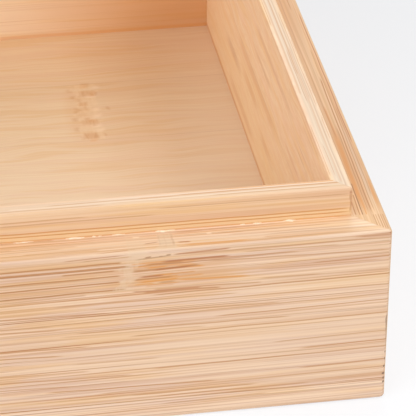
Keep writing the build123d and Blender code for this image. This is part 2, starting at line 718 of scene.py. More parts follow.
    def _ground(self) -> Socket:
        """Mixes the ground colour from fine streaks, broad bands and the strips' own tones."""
        w, finish, palette = self.w, self.finish, self.finish.palette
        fine, broad = finish.streak_strength, finish.band_strength
        dark = self.DARK_THREAD_SHARE * fine
        threads = self._noise(THREADS)
        layers = [
            (self._cover(STREAKS, fine), palette.warm),
            (self._cover(PINKS, broad), palette.pink),
            (self._cover(HONEYS, broad), palette.honey),
            (w.fade(threads, *PALE_THREADS, self.PALE_THREAD_SHARE * fine, 0.0), palette.light),
            (w.fade(threads, THREADS.low, THREADS.high, 0.0, dark), palette.fibre),
        ]
        if finish.fleck_strength:
            layers.append((self._cover(FLECKS, finish.fleck_strength), palette.warm))
        layers.append((w.times(self.strip["Tone"], finish.strip_contrast), palette.warm))
        colour = palette.pale
        for cover, layer in layers:
            colour = w.blend(cover, colour, layer)
        return colour

    def _lay_strokes(self, colour: Socket) -> Socket:
        """Lays the listed marks over the colour so far, the strokes of one tone in one layer."""
        w = self.w
        waver = w.scaled(self._noise(WAVES), 2.0 * self.STROKE_WAVER, -self.STROKE_WAVER)
        sides = {False: w.plus(self.across, waver), True: w.plus(self.depth, waver)}
        raggedness = 4.0
        along = w.scaled(waver, raggedness, self.along)
        for tone in Tone:
            cover = None
            for stroke in (mark for mark in self.finish.strokes if mark.tone is tone):
                mask = self._stroke(stroke, along, sides[stroke.on_top])
                cover = mask if cover is None else w.math("MAXIMUM", cover, mask)
            if cover is not None:
                colour = w.blend(cover, colour, tone.value)
        return colour

    def _stroke(self, stroke: Stroke, along: Socket, side: Socket) -> Socket:
        """Places one stroke.

        Args:
            stroke: The mark.
            along: The measure along it.
            side: The measure across it.

        Returns:
            Its cover.
        """
        (start, low), (end, high) = stroke.start, stroke.end
        slope = (high - low) / (end - start)
        parts = self.w.place(
            self.effects.stroke,
            Along=along,
            Across=side,
            Start=start,
            End=end,
            Height=low - slope * start,
            Slope=slope,
            Half_Width=stroke.half_width,
            Soft=min(stroke.soft, 0.5 * (end - start)),
        )
        return self.w.times(parts["Mask"], stroke.strength)

    def _lay_nodes(self, colour: Socket) -> Socket:
        """Lays the growth nodes' pale bands and dark dashes over the colour so far."""
        w, palette = self.w, self.finish.palette
        for spot, parts in self.grown:
            colour = w.blend(w.times(parts["Pale"], spot.strength), colour, palette.node_pale)
            colour = w.blend(w.times(parts["Dark"], spot.dashes), colour, palette.node_dark)
        return colour

    def _lay_joints(self, colour: Socket) -> Socket:
        """Lays the strips' glue lines, and on an upright board the mitres, over the colour so far."""
        w, palette = self.w, self.finish.palette
        colour = w.blend(w.times(self.strip["Seam"], self.SEAM_COVER), colour, palette.joint)
        if self.finish.grain is Grain.LONG_FLAT:
            return colour
        mitre = w.place(
            self.effects.mitre,
            Millimetres=self.millimetres,
            Middle=self.middle,
            Difference=MITRE_DIFFERENCE,
            Half_Width=self.MITRE_HALF_WIDTH,
        )
        return w.blend(w.times(mitre["Seam"], self.MITRE_COVER), colour, palette.joint)

    def _finish_surface(self, colour: Socket, lines: Socket) -> None:
        """Adds the shader: sanded bamboo, a little rougher and lower along the fibre bundles.

        Args:
            colour: The finished colour.
            lines: The cover of the fibre bundles.
        """
        w = self.w
        pore_rough, line_rough, pore_relief, strength, depth = 0.16, 0.08, 0.5, 0.35, 0.02
        pores = self._noise(PORES)
        rough = w.scaled(pores, pore_rough, self.finish.roughness - 0.5 * pore_rough)
        surface = {
            "Base Color": colour,
            "Roughness": w.scaled(lines, line_rough, rough),
            "Specular IOR Level": 0.35,
            "Normal": w.relief(w.minus(w.times(pores, pore_relief), lines), strength, depth),
        }
        shader = w.node("ShaderNodeBsdfPrincipled", surface)
        w.node("ShaderNodeOutputMaterial", {"Surface": shader.outputs[0]})


def node_size(name: str) -> tuple[np.ndarray, np.ndarray]:
    """The lowest and highest corners of a board at rest, in millimetres."""
    low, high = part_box(name)
    return np.array(low) * PER_METRE, np.array(high) * PER_METRE


BOX_LOW, BOX_HIGH = node_size("front_wall")
HALF_LENGTH = float(BOX_HIGH[0])
HALF_WIDTH = float(-BOX_LOW[1])
MITRE_DIFFERENCE = HALF_LENGTH - HALF_WIDTH
LEDGE = float(BOX_HIGH[2])
LIP_FRONT = float(node_size("front_liner")[0][1])


def drawn(
    rows: dict[Tone, Iterable[Sequence[float]]],
    on_top: bool = False,
    half_width: float = 0.2,
    soft: float = 3.0,
    share: float = 1.0,
) -> tuple[Stroke, ...]:
    """Draws strokes from a table.

    Args:
        rows: For each tone its strokes, each as start along and across, end along and across,
            strength and, where they aren't the usual ones, half width and softness.
        on_top: Whether they lie on the board's upper edge.
        half_width: Half the usual width.
        soft: How far the ends usually take to fade.
        share: What the strengths are multiplied by.

    Returns:
        The strokes.
    """
    usual = (half_width, soft)
    return tuple(
        Stroke((start, low), (end, high), share * strength, *own, *usual[len(own):], tone, on_top)
        for tone, strokes in rows.items()
        for start, low, end, high, strength, *own in strokes
    )


def sheaf(
    start: tuple[float, float],
    end: tuple[float, float],
    height: float,
    count: int,
    seed: int,
    tones: Sequence[Tone],
    on_top: bool = False,
    strength: float = 1.0,
) -> tuple[Stroke, ...]:
    """Fine strokes that lie side by side and end raggedly, as fibres do beyond a growth node.

    Args:
        start: Where the middle of the sheaf starts, in the measures of a stroke.
        end: Where it ends.
        height: How far the strokes spread across the grain.
        count: The number of strokes.
        seed: Sets how ragged the ends are.
        tones: The colours, taken in turn.
        on_top: Whether they lie on the board's upper edge.
        strength: What their random strengths are multiplied by.

    Returns:
        The strokes.
    """
    late_heads, early_tails, jitter = (-0.08, 0.30), (-0.10, 0.45), (-0.1, 0.1)
    covers, half_breadths, soft = (0.55, 0.95), (0.16, 0.30), 1.4
    chance = np.random.default_rng(seed)
    length = end[0] - start[0]
    rise = (end[1] - start[1]) / length
    heads = start[0] + chance.uniform(*late_heads, count) * length
    tails = end[0] - chance.uniform(*early_tails, count) * length
    levels = start[1] + height * (np.linspace(-0.5, 0.5, count) + chance.uniform(*jitter, count))
    strengths = strength * chance.uniform(*covers, count)
    half_widths = chance.uniform(*half_breadths, count)
    lows = levels + rise * (heads - start[0])
    highs = levels + rise * (tails - start[0])
    table = np.stack([heads, lows, tails, highs, strengths, half_widths], axis=1).tolist()
    return tuple(
        stroke
        for number, row in enumerate(table)
        for stroke in drawn({tones[number % len(tones)]: (row,)}, on_top, soft=soft)
    )


def front_wall_strokes() -> tuple[Stroke, ...]:
    """The front wall's strongest fibres, its growth node's marks and the pits at its right corner."""
    stopped_at_node = (
        (-12, 35.2, 59.6, 35.95, 1), (4, 34.6, 61.2, 35.1, 0.95), (48, 34.2, 58.4, 34.3, 0.9),
        (-30, 32.3, 59.2, 33.1, 0.95), (-8, 30.9, 59.4, 31.8, 1), (10, 29.4, 60.4, 30.15, 1),
        (25, 28.8, 53, 29.5, 0.5),
    )
    left_of_node = (
        (24, 25.7, 58, 25.1, 0.8), (14, 18.3, 54, 18, 0.8), (22, 17.1, 49, 16.4, 0.8),
        (28, 23.5, 47, 23.1, 0.5), (26, 22.7, 49, 22.2, 0.6), (30, 12.7, 54, 12.4, 0.6),
        (18, 11.5, 62, 10.8, 0.7), (26, 9.8, 51, 9.3, 0.6), (44, 8.3, 78, 7.8, 0.8),
    )
    right_of_node = (
        (69, 36.8, 112, 36.7, 0.75), (81, 36.2, 101, 35.9, 0.7), (67, 35.4, 93, 35.2, 0.85),
        (74, 34.8, 111, 34, 0.75), (94, 32.5, 112, 32.75, 0.85), (84, 32, 109, 32, 0.6),
        (84, 30, 98, 29.9, 0.7), (64, 28.3, 112, 28.75, 1), (46, 27.4, 82, 27.2, 0.75),
        (53, 26.2, 112, 26.4, 0.7), (48, 24.7, 90, 24.3, 0.8), (65, 23.8, 112, 24.3, 0.8),
        (76, 22.4, 112, 23, 0.9), (66, 21.8, 112, 22.3, 0.45), (50, 21.2, 92, 21, 0.8),
        (47, 20.6, 76, 20.4, 0.5), (60, 19.5, 112, 20, 0.9), (49, 14.25, 67, 14.1, 0.6),
        (87, 15.4, 112, 15.9, 0.75), (92, 13.4, 112, 13.9, 0.9), (64, 11.7, 112, 12.3, 0.8),
        (92, 8.95, 112, 9.4, 0.95), (54, 7.05, 112, 7.7, 0.65), (60, 6, 86, 6.25, 0.8),
        (65, 5.4, 96, 5.4, 0.75), (78, 4.7, 112, 4.6, 0.7), (66, 3.5, 88, 3.8, 0.65),
    )
    growth_marks = {
        Tone.AMBER: ((50, 31, 84, 31, 0.3, 7, 10),),
        Tone.ORANGE: (
            (60.6, 34.65, 65.2, 34.85, 0.7, 0.28, 1.6), (62.8, 35, 68, 35.15, 0.75, 0.36, 1.8),
            (65.5, 35.2, 75, 35.35, 0.7, 0.36), (66.4, 34.6, 71, 34.65, 0.5, 0.25, 1.6),
            (69, 34.4, 73.6, 34.3, 0.7, 0.3, 1.6), (70.4, 34, 75.2, 33.85, 0.75, 0.3, 1.6),
            (64.8, 32.6, 69.2, 32.65, 0.65, 0.3, 1), (66, 32.05, 70.4, 32.15, 0.75, 0.36, 1),
            (62, 31.3, 70.8, 31.6, 0.95, 0.32, 1.8), (68.5, 31.35, 84, 30.75, 0.85, 0.3),
            (61.2, 30.85, 65.6, 30.9, 0.75, 0.22, 1.2),
        ),
        Tone.RED_BROWN: (
            (66.2, 35.45, 80, 35.6, 0.9, 0.26, 2), (64.6, 33.75, 72.8, 34.05, 0.9, 0.27, 1.8),
            (62.2, 32.45, 67.6, 32.5, 0.9, 0.25, 1.6), (68.4, 36.8, 80, 37.25, 0.75, 0.22, 1.5),
            (102, 37.4, 112, 37.3, 0.6, 0.25), (48, 37.2, 60, 37.5, 0.6, 0.16, 2),
        ),
        Tone.UMBER: (
            (61.6, 36.25, 68.8, 36.75, 0.55, 0.2, 1), (63.4, 36.55, 65, 36.75, 0.75, 0.24, 0.5),
            (66, 36.6, 67.2, 36.65, 0.7, 0.2, 0.4), (67.4, 36.8, 68.6, 36.9, 0.7, 0.22, 0.4),
        ),
        Tone.BROWN: ((51, 36.8, 62, 37.15, 0.6, 0.15, 2),),
    }
    shades = {
        Tone.AMBER: ((-160, 33, 84, 31, 0.17, 26, 40), (-160, 24, 140, 24, 0.08, 9, 30)),
        Tone.ORANGE: ((66, 33.4, 130, 32.8, 0.1, 5, 12),),
        Tone.BEIGE: ((50, 17.5, 150, 20, 0.38, 15, 30),),
        Tone.UMBER: ((-160, 26, 58, 26, 0.06, 13, 20),),
    }
    ledge = {
        Tone.HONEY: ((-160, 3.3, 150, 3.3, 0.22, 3.1, 10),),
        Tone.STRAW: ((66.2, 3.4, 69.6, 3.4, 0.55, 3.2, 0.4),),
        Tone.BROWN: (
            (66.4, 3.4, 66.8, 3.4, 0.15, 3.2, 0.2), (67.5, 3.4, 67.9, 3.4, 0.2, 3, 0.2),
            (68.8, 3.2, 69.4, 3.2, 0.3, 2.9, 0.2), (54, 0.4, 64.5, 1.3, 0.6),
            (69, 5.5, 76, 5.5, 0.45, 0.25), (20, 2.6, 50, 3.2, 0.4, 0.25),
            (76, 4.2, 100, 4.3, 0.4, 0.25), (86, 2.6, 108, 2.4, 0.35, 0.22),
            (85, 1.1, 109, 0.8, 0.4, 0.22),
        ),
        Tone.RED_BROWN: ((63.2, 2.4, 66.6, 2.8, 0.6, 0.22, 1), (69.6, 2.2, 72.8, 2.1, 0.75, 0.3, 1)),
        Tone.ORANGE: ((70, 1.2, 84, 1.1, 0.6, 0.45),),
        Tone.CREAM: ((61.8, 5, 63.4, 4.9, 0.8, 0.35, 0.5), (75.5, 4.5, 76.9, 4.4, 0.8, 0.35, 0.5)),
    }
    pits = [(109.4, height, 110.2, height, 0.85, 0.32) for height in (10.9, 9.3, 7.6, 6.0, 4.9, 4.0)]
    crack = (109.5, 17.0, 110.2, 17.0, 0.55, 6.0)
    right_tones = (Tone.CREAM, Tone.AMBER, Tone.CREAM, Tone.STRAW)
    left_tones = (Tone.AMBER, Tone.CREAM, Tone.STRAW)
    return (
        drawn({Tone.BROWN: stopped_at_node}, half_width=0.23, soft=1.0)
        + drawn({Tone.BROWN: left_of_node}, share=0.95)
        + drawn({Tone.BROWN: right_of_node}, share=0.8)
        + sheaf((61.4, 34.5), (74, 34.8), 1.9, 6, 31, (Tone.AMBER, Tone.BROWN, Tone.ORANGE))
        + sheaf((62.0, 31.4), (75, 31.7), 2.1, 7, 35, (Tone.AMBER, Tone.ORANGE, Tone.BROWN))
        + sheaf((60.5, 29.4), (84, 28.9), 0.6, 3, 38, (Tone.BROWN, Tone.RED_BROWN))
        + drawn(growth_marks)
        + drawn(shades)
        + sheaf((28, 3.7), (122, 3.7), 4.6, 11, 41, right_tones, True, 0.6)
        + sheaf((-110, 3.7), (60, 3.7), 4.6, 9, 42, left_tones, True, 0.65)
        + drawn(ledge, on_top=True)
        + drawn({Tone.SHADOW: [*pits, crack]}, soft=0.15)
    )


def right_wall_strokes() -> tuple[Stroke, ...]:
    """The lines on the right wall's ledge, strong near the front corner and in the outer half."""
    inner_lines = {
        Tone.BROWN: ((-71.7, 5.6, -62, 5.35, 0.9), (-71.7, 4.9, -64, 4.65, 0.9)),
        Tone.UMBER: ((-71.7, 4.35, -60, 4.1, 0.9),),
        Tone.ORANGE: ((-71.7, 3.6, -46, 3.35, 0.9),),
    }
    long_lines = {
        Tone.ORANGE: (
            (-71.5, 3.8, -38, 3.3, 0.75, 0.7, 8), (-71.5, 0.7, -56, 0.7, 0.7, 0.4, 6),
            (-71.6, 3.5, -30, 3.3, 0.6, 0.35),
        ),
        Tone.STRAW: ((-71.5, 1.5, -34, 1.2, 0.6, 0.7, 10),),
        Tone.AMBER: (
            (-62, 5.6, 10, 4.6, 0.35, 0.6, 8), (-20, 3.2, 100, 3.2, 0.4, 2.9, 40),
            (-60, 0.95, 100, 0.95, 0.3, 0.75, 8), (-71.4, 3.2, -36, 3.2, 0.22, 2.9, 10),
        ),
        Tone.UMBER: ((-64, 3.2, 110, 3.2, 0.09, 2.9, 10),),
        Tone.BROWN: (
            (-71.6, 2.5, -18, 1.75, 1, 0.17), (-71.6, 1.9, -26, 1.35, 0.8, 0.12),
            (-66, 1.2, -30, 0.95, 0.7, 0.12), (-71.6, 3.05, -38, 2.5, 0.8, 0.12),
            (-38, 1.4, -6, 1.4, 0.6, 0.12), (10, 1.9, 77, 1.7, 0.7, 0.18),
        ),
        Tone.RED_BROWN: ((-44, 3.4, 40, 3.6, 0.4, 0.22), (-46, 0.7, 10, 0.7, 0.8, 0.14)),
    }
    corner_lines = [
        (-77.2 + 0.4 * inward, inward, -71.4, inward, 0.75) for inward in (2.45, 2.0, 1.5, 1.1, 0.7)
    ]
    return (
        drawn(inner_lines, on_top=True, half_width=0.16, soft=0.6)
        + drawn(long_lines, on_top=True)
        + drawn({Tone.BROWN: corner_lines}, on_top=True, half_width=0.12, soft=0.5)
    )


def front_liner_strokes() -> tuple[Stroke, ...]:
    """The bands along the lip's foot, the lowest partly painted shade, and the fine lines on its upper edge.
    """
    foot = {
        Tone.HONEY: ((-110, 39, 110, 38.9, 0.6, 1.1),),
        Tone.AMBER: ((-110, 40, 104, 39.65, 0.85), (-60, 39.3, 104, 38.95, 0.85, 0.18)),
        # Partly painted shade: the orange line where the lip meets the ledge, at the join of the two parts.
        Tone.ORANGE: ((-110, 38.2, 104, 38.15, 0.6, 0.16),),
        Tone.BROWN: (
            (20, 42.3, 55, 42.3, 0.5, 0.16), (36, 41.6, 67, 41.6, 0.45),
            (66, 42.95, 104, 42.8, 0.55, 0.15),
        ),
    }
    upper_edge = {
        Tone.BROWN: (
            (70, 2.35, 104, 2.3, 0.75), (46, 2, 72, 2, 0.55), (76, 1.3, 100, 1.2, 0.55),
            (0, 0.95, 58, 0.9, 0.55),
        ),
        Tone.ORANGE: ((78, 3.05, 104, 3.05, 0.7),),
        Tone.STRAW: ((-110, 1.75, 110, 1.75, 0.6, 1.7, 6),),
        Tone.AMBER: ((-160, 1.75, 70, 1.75, 0.13, 1.58, 30),),
    }
    corner_dashes = [
        (103.0, height, 103.8, height, strength, half_width)
        for height, strength, half_width in (
            (41.2, 0.45, 3.0), (39.4, 0.45, 0.3), (40.7, 0.5, 0.4), (42.1, 0.6, 0.25), (43.1, 0.6, 0.35)
        )
    ]
    top_tones = (Tone.AMBER, Tone.CREAM, Tone.STRAW)
    return (
        drawn(foot)
        + drawn(upper_edge, on_top=True)
        + sheaf((44, 1.8), (124, 1.8), 1.7, 5, 43, top_tones, True, 0.45)
        + drawn({Tone.RED_BROWN: corner_dashes}, soft=0.1)
    )


def back_liner_strokes() -> tuple[Stroke, ...]:
    """Amber painted shade towards the back liner's right corner, and a glue line at its foot, partly painted
    shade.
    """
    # Painted shade: amber darkening of the liner's right part, where the right wall's shadow falls.
    painted_corner_shade = (42, 14.0, 160, 14.0, 0.75, 22.0, 50.0)
    # Glue at the liner's foot, darkened further as painted shade where it meets the floor.
    glue_and_shade_line = (-110, 5.1, 110, 5.1, 0.5, 0.7)
    return drawn({Tone.AMBER: (painted_corner_shade,), Tone.ORANGE: (glue_and_shade_line,)})


def floor_strokes() -> tuple[Stroke, ...]:
    """The blurred marks of the growth node on the floor's middle strip, broad tints, and painted light and
    shade.
    """
    spots = (
        (66.5, 44, 3.2, 0.5, 0.8), (65.8, 40.2, 5, 0.75, 1.1), (64.2, 37.4, 3, 0.5, 0.7),
        (65, 35.6, 3.4, 0.65, 0.8), (63.8, 33.4, 4.4, 0.4, 0.8), (64, 30.8, 3.6, 0.45, 0.7),
        (64.6, 27.4, 5, 0.75, 1), (62.8, 24.6, 2.4, 0.35, 0.8), (64.4, 21.4, 4.4, 1, 1.2),
        (69, 21.6, 1.6, 0.45, 0.6), (63.2, 41.8, 2.4, 0.35, 0.7), (63.4, 38.8, 2.6, 0.5, 0.6),
        (63.6, 32.2, 2.2, 0.45, 0.6), (62.8, 28.9, 2.4, 0.4, 0.7), (65.2, 39, 2.2, 0.55, 0.35),
        (66, 34.2, 1.8, 0.6, 0.35), (65.4, 28.9, 2.6, 0.6, 0.4), (67, 26, 2, 0.5, 0.4),
    )
    marks = [
        (start, across, start + length, across, strength, 1.7 * half_width)
        for start, across, length, strength, half_width in spots
    ]
    gap_places = (
        (68.6, 42.6), (67, 38.6), (67.4, 32.6), (67.2, 29.6), (66.8, 25.4), (67, 23.4),
    )
    gaps = [(start, across, start + 3.4, across + 0.4, 0.3, 1.0) for start, across in gap_places]
    shades = {
        Tone.ORANGE: (
            (66.4, 43.4, 68.8, 43.6, 0.3, 1.3, 1), (68, 39.8, 70.2, 39.8, 0.45, 1.5, 1),
            (66.2, 27.9, 68.8, 27.9, 0.4, 0.9, 1), (65.4, 35.4, 68, 35.4, 0.3, 1, 1),
            (65.8, 19.6, 68, 19.6, 0.3, 1, 0.8),
        ),
        Tone.RED_BROWN: ((71, 33, 72.6, 33, 0.3, 1.2, 0.8), (63.8, 20.6, 65.4, 20.6, 0.3, 1.2, 0.8)),
        # Painted shade: the broad brown darkens the floor's middle.
        Tone.BROWN: ((62, 36, 93, 36, 0.14, 60, 13),),
        Tone.AMBER: ((61, 32, 70.4, 32, 0.15, 17), (-150, 66, 150, 66, 0.15, 34, 10)),
        # Painted light: the broad cream lightens the floor near the right liner, where light bounces off it.
        Tone.CREAM: ((80, 30, 124, 30, 0.38, 70, 22),),
    }
    return (
        drawn({Tone.BROWN: marks}, soft=1.3, share=0.85)
        + drawn({Tone.CREAM: gaps}, soft=1.6)
        + drawn(shades)
    )


def right_liner_strokes() -> tuple[Stroke, ...]:
    """The right lip's fine upper-edge lines, its inner face's streaks and painted light and shade, and its
    foot's glue.
    """
    places = (
        (-68, -46, 3.2), (-68, -54, 2.3), (-55, -44, 1), (-55, -43, 0.5), (-40, -16, 2),
        (-39, -15, 1.35), (-42, 0, 0.6), (8, 60, 2.6), (20, 66, 1.2), (-8, 40, 3.1),
    )
    upper_edge = [(start, inward, end, inward, 0.5) for start, end, inward in places]
    shades = {
        # Glue at the liner's foot, darkened further as painted shade where it meets the floor.
        Tone.AMBER: ((-70, 5.1, 70, 5.1, 0.6, 0.9),),
        # Painted light: lightens the lower part of the inner face, against the shade that falls near the
        # floor.
        Tone.HONEY: ((-90, 2, 90, 2, 0.42, 28, 30),),
        # Painted shade: darkens the upper part of the inner face a little, evening out its light.
        Tone.BROWN: ((-60, 46, 110, 46, 0.06, 16, 20),),
    }
    streaks = {
        Tone.BROWN: (
            (-62, 42.3, -36, 42.3, 0.28, 0.375), (-58, 40.9, -38, 40.9, 0.28, 0.3),
            (-60, 43.6, 2, 43.6, 0.28, 0.45), (-52, 34.6, -34, 34.6, 0.28, 0.375),
            (-50, 32.8, -32, 32.8, 0.28, 0.45), (-36, 36.8, 10, 36.8, 0.28, 1.05),
            (-14, 31, 12, 31, 0.28, 0.9),
        ),
        Tone.AMBER: (
            (-44, 27.4, -22, 27.4, 0.28, 0.75), (-18, 23.6, 30, 23.6, 0.28, 1.8),
            (-16, 14.4, 4, 14.4, 0.28, 1.65), (0, 18.6, 24, 18.6, 0.28, 1.8),
            (6, 8.4, 40, 8.4, 0.28, 1.5),
        ),
        Tone.RED_BROWN: ((22, 16.4, 44, 16.4, 0.28, 1.8),),
    }
    top_tones = (Tone.BROWN, Tone.CREAM, Tone.AMBER)
    return (
        drawn({Tone.BROWN: upper_edge}, on_top=True, half_width=0.14)
        + drawn({Tone.STRAW: ((-80, 1.75, 80, 1.75, 0.9, 1.74, 6.0),)}, on_top=True)
        + drawn(shades)
        + sheaf((-84, 1.7), (110, 1.7), 1.6, 6, 44, top_tones, True, 0.45)
        + drawn(streaks, soft=9.0)
    )


def scattered_nodes(seed: int, reach: float) -> tuple[GrowthNode, ...]:
    """Growth nodes for a wall that no picture shows, one for most of five strips at a random place.

    Args:
        seed: Sets the places.
        reach: How far from the middle of the board a node may lie.

    Returns:
        The nodes.
    """
    strips, height, likely = 5, 7.6, 0.7
    chance = np.random.default_rng(seed)
    places = chance.uniform(-reach, reach, strips)
    kept = chance.random(strips) < likely
    return tuple(
        GrowthNode(float(place), height * number, height * (number + 1), strength=0.6)
        for number, place in enumerate(places)
        if kept[number]
    )


def board_colours(**screen: tuple[int, int, int]) -> Palette:
    """A palette with some colours of its own, given as screen values."""
    return Palette(**{name: linear(*colour) for name, colour in screen.items()})


def box_finishes() -> dict[str, BambooFinish]:
    """The finishes of the box's nine boards."""
    lip = board_colours(
        pale=(240, 204, 167), warm=(227, 182, 138), pink=(234, 194, 160), fibre=(212, 156, 106),
        dark_fibre=(200, 144, 98),
    )
    pale_lip = board_colours(
        pale=(252, 224, 192), warm=(242, 205, 166), pink=(248, 212, 182), honey=(247, 209, 158),
        fibre=(216, 176, 136), dark_fibre=(206, 164, 124),
    )
    pink_lip = board_colours(
        pale=(251, 228, 198), warm=(243, 212, 174), pink=(247, 220, 192), honey=(246, 216, 174),
        fibre=(220, 176, 136), dark_fibre=(212, 166, 124),
    )
    tan = board_colours(
        pale=(237, 201, 160), warm=(216, 172, 126), pink=(226, 186, 144), light=(248, 218, 184),
        fibre=(192, 142, 96), dark_fibre=(172, 122, 80),
    )
    floor = board_colours(
        pale=(229, 201, 166), warm=(217, 181, 141), pink=(225, 191, 158), honey=(222, 185, 141),
        light=(237, 209, 172), fibre=(208, 160, 112), dark_fibre=(198, 148, 102),
        node_pale=(234, 202, 162), node_dark=(190, 142, 98),
    )
    walls = dict(strip_height=8.4, first_seam=-3.8)
    liners = dict(
        strip_height=20.0,
        first_seam=4.5,
        spacing=1.1,
        line_strength=0.4,
        strip_contrast=0.2,
        streak_strength=0.32,
        band_strength=0.8,
    )
    long, short = Grain.LONG_UPRIGHT, Grain.SHORT_UPRIGHT
    front_nodes = (
        GrowthNode(59.6, 29.6, 38.2, slant=0.3, width=2.6, strength=0.42, dashes=0.0),
        GrowthNode(67.7, 0.0, 5.4, slant=0.05, width=2.6, strength=0.5, dashes=0.0, on_top=True),
        GrowthNode(-48.0, 7.6, 15.2),
        GrowthNode(-92.0, 22.8, 30.4),
    )
    floor_nodes = (
        GrowthNode(67.0, 19.6, 44.4, slant=0.02, width=5.0, strength=0.35, dashes=0.0),
        GrowthNode(-38.0, -30.5, -5.5, slant=0.05, strength=0.5),
        GrowthNode(-80.0, 44.5, 69.5, slant=0.03, strength=0.5),
        GrowthNode(12.0, -55.5, -30.5, slant=-0.04, strength=0.5),
    )
    return {
        "front_wall": BambooFinish(
            long, 1.0, slope=0.009, strokes=front_wall_strokes(), nodes=front_nodes, **walls
        ),
        "right_wall": BambooFinish(
            short,
            2.0,
            palette=tan,
            line_strength=0.4,
            streak_strength=0.32,
            strokes=right_wall_strokes(),
            nodes=scattered_nodes(2, 60.0),
            **walls,
        ),
        "back_wall": BambooFinish(long, 3.0, slope=-0.006, nodes=scattered_nodes(3, 95.0), **walls),
        "left_wall": BambooFinish(short, 4.0, slope=0.007, nodes=scattered_nodes(4, 60.0), **walls),
        "front_liner": BambooFinish(long, 5.0, palette=lip, strokes=front_liner_strokes(), **liners),
        "right_liner": BambooFinish(
            short,
            6.0,
            palette=pale_lip,
            waver=2.5,
            fleck_strength=0.6,
            strokes=right_liner_strokes(),
            **(liners | dict(line_strength=0.22, streak_strength=0.22)),
        ),
        "back_liner": BambooFinish(
            long, 7.0, palette=pink_lip, strokes=back_liner_strokes(), **liners
        ),
        "left_liner": BambooFinish(short, 8.0, palette=lip, **liners),
        "bottom_panel": BambooFinish(
            Grain.LONG_FLAT,
            9.0,
            palette=floor,
            strip_height=25.0,
            first_seam=-5.5,
            strip_contrast=0.3,
            line_strength=0.14,
            streak_strength=0.2,
            band_strength=0.8,
            waver=2.0,
            roughness=0.34,
            strokes=floor_strokes(),
            nodes=floor_nodes,
        ),
    }


def lid_finishes() -> dict[str, BambooFinish]:
    """The finishes of the lid's five boards."""
    rails = dict(strip_height=9.4, first_seam=-0.4)
    panel_nodes = (
        GrowthNode(-62.0, 106.4, 131.4, slant=0.03, strength=0.6),
        GrowthNode(34.0, 131.4, 156.4, slant=-0.04, strength=0.6),
        GrowthNode(-14.0, 181.4, 206.4, slant=0.05, strength=0.6),
        GrowthNode(78.0, 206.4, 231.4, slant=0.02, strength=0.6),
    )
    return {
        "lid_front_rail": BambooFinish(Grain.LONG_UPRIGHT, 10.0, slope=0.005, **rails),
        "lid_back_rail": BambooFinish(Grain.LONG_UPRIGHT, 11.0, slope=-0.007, **rails),
        "lid_left_rail": BambooFinish(Grain.SHORT_UPRIGHT, 12.0, **rails),
        "lid_right_rail": BambooFinish(Grain.SHORT_UPRIGHT, 13.0, slope=0.006, **rails),
        "lid_top_panel": BambooFinish(
            Grain.LONG_FLAT,
            14.0,
            strip_height=25.0,
            first_seam=81.4,
            strip_contrast=0.5,
            line_strength=0.5,
            nodes=panel_nodes,
        ),
    }


@dataclass
class Boards:
    """The boards that share a body, dressed in their finishes.

    Attributes:
        finishes: The finish of each board, by the board's name.
        middle: The Y of the middle of the frame that the boards make, in millimetres.
    """

    finishes: dict[str, BambooFinish]
    middle: float

    def dress(self, effects: GrainEffects) -> None:
        """Gives each board its own material, made with the shared node groups."""
        for name, finish in self.finishes.items():
            board = BoardMaterial(effects, finish, self._outer(name, finish.grain), self.middle)
            material = board.build(name)
            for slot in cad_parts[name].material_slots:
                slot.material = material
            marks = len(finish.strokes), len(finish.nodes)
            LOG.info("board %s: %d strokes, %d growth nodes", name, *marks)

    def _outer(self, name: str, grain: Grain) -> float:
        """Where the board's outer face lies on the axis into the board, the side away from the middle.

        Args:
            name: The board's name.
            grain: How the board lies.

        Returns:
            The place in millimetres.
        """
        low, high = node_size(name)
        if grain is Grain.LONG_FLAT:
            return -float(high[2])
        if grain is Grain.LONG_UPRIGHT:
            return float(max(low[1], high[1], key=lambda place: abs(place - self.middle)))
        return -float(max(low[0], high[0], key=abs))


@dataclass(frozen=True)
class Bead:
    """A bead of dried glue along the foot of the lip, in millimetres.

    Attributes:
        start: Where it starts along the side.
        end: Where it ends.
        width: How far it spreads on the ledge.
        height: How far it climbs up the lip.
    """

    start: float
    end: float
    width: float
    height: float


